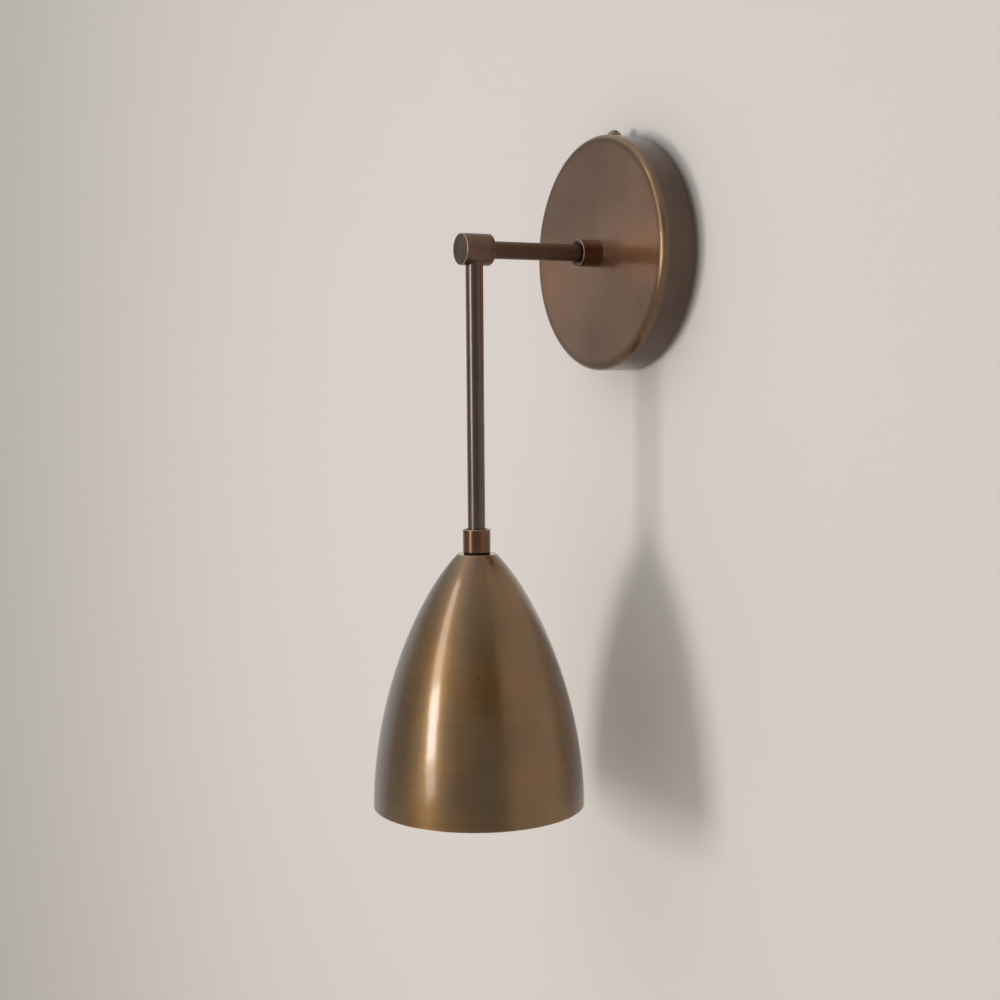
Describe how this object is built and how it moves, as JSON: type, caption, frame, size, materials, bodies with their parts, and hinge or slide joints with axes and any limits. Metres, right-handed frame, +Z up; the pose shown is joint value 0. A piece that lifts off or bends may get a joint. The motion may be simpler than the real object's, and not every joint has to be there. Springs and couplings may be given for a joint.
{
  "type": "wall sconce",
  "caption": "Wall sconce: a round canopy, a short arm, a turned elbow and a down rod carry a spun bell shade over a screw-in lamp.",
  "frame": {"origin": "on the wall, centre of the strap's fixing slots, on the axis of the canopy and the arm", "axes": "+Z up, +Y into the wall (the sconce stands out along -Y), +X to the right as seen from the room"},
  "size_m": [0.127, 0.1516, 0.361],
  "materials": {
    "spun_brass": "antiqued and lacquered, spun brushing",
    "canopy_bronze": "antiqued brown with a rubbed front edge",
    "dark_bronze": "dark oil-rubbed tube and elbow",
    "copper_bronze": "turned, reddish brown",
    "screw_brass": "antiqued, polished head",
    "zinc_steel": "zinc plated",
    "raw_brass": "plain machined",
    "porcelain": "glazed white, opaque",
    "nickel_cap": "nickel plated",
    "black_glass": "gloss black, opaque",
    "clear_glass": "clear",
    "solder": "dull tin",
    "phosphor": "amber phosphor coating",
    "black_rubber": "matt",
    "wire_black": "extruded insulation",
    "wire_white": "extruded insulation",
    "wire_green": "extruded insulation",
    "block_plastic": "moulded"
  },
  "bodies": {
    "lamp": {"wall_bracket": "zinc_steel", "canopy": "canopy_bronze", "canopy_hook": "raw_brass", "canopy_washer": "zinc_steel", "canopy_nut": "zinc_steel", "arm_nipple": "zinc_steel", "arm_collar": "copper_bronze", "arm_tube": "dark_bronze", "elbow": "dark_bronze", "down_rod": "dark_bronze", "shade_collar": "copper_bronze", "shade_nipple": "zinc_steel", "shade_gasket": "black_rubber", "shade": "spun_brass", "shade_washer": "zinc_steel", "shade_nut": "zinc_steel", "holder_cap": "raw_brass", "holder_set_screw": "zinc_steel", "holder_shell": "raw_brass", "holder_core": "porcelain", "holder_socket": "raw_brass", "holder_contact": "raw_brass", "holder_terminals": "raw_brass", "live_wire": "wire_black", "neutral_wire": "wire_white", "earth_wire": "wire_green", "earth_screw": "zinc_steel", "terminal_block": "block_plastic", "terminal_sleeves": "raw_brass", "terminal_screws": "zinc_steel", "block_screw": "zinc_steel"},
    "lamp_tip": {"bulb_contact": "solder"},
    "bulb": {"bulb_glass": "clear_glass", "bulb_cap": "nickel_cap", "bulb_insulator": "black_glass", "bulb_stem": "clear_glass", "bulb_filaments": "phosphor"},
    "captive_washer": {"screw_washer": "screw_brass"},
    "screw": {"canopy_screw": "screw_brass"}
  },
  "joints": [
    {"name": "bulb_travel", "type": "slide", "parent": "lamp", "child": "lamp_tip", "axis": [0, 0, -1], "range_m": [0, 0.0145]},
    {"name": "bulb_turn", "type": "hinge", "parent": "lamp_tip", "child": "bulb", "pos_m": [0, -0.0952, -0.2], "axis": [0, 0, -1], "range_deg": [0, 1440]},
    {"name": "screw_travel", "type": "slide", "parent": "lamp", "child": "captive_washer", "axis": [0, 0, 1], "range_m": [0, 0.00524]},
    {"name": "screw_turn", "type": "hinge", "parent": "captive_washer", "child": "screw", "pos_m": [0, -0.0082, 0.064], "axis": [0, 0, 1], "range_deg": [0, 2700]}
  ],
  "couplings": [
    {"joint": "bulb_turn", "follows": "bulb_travel", "rad_per_m": 1731.4},
    {"joint": "screw_turn", "follows": "screw_travel", "rad_per_m": 8976}
  ]
}
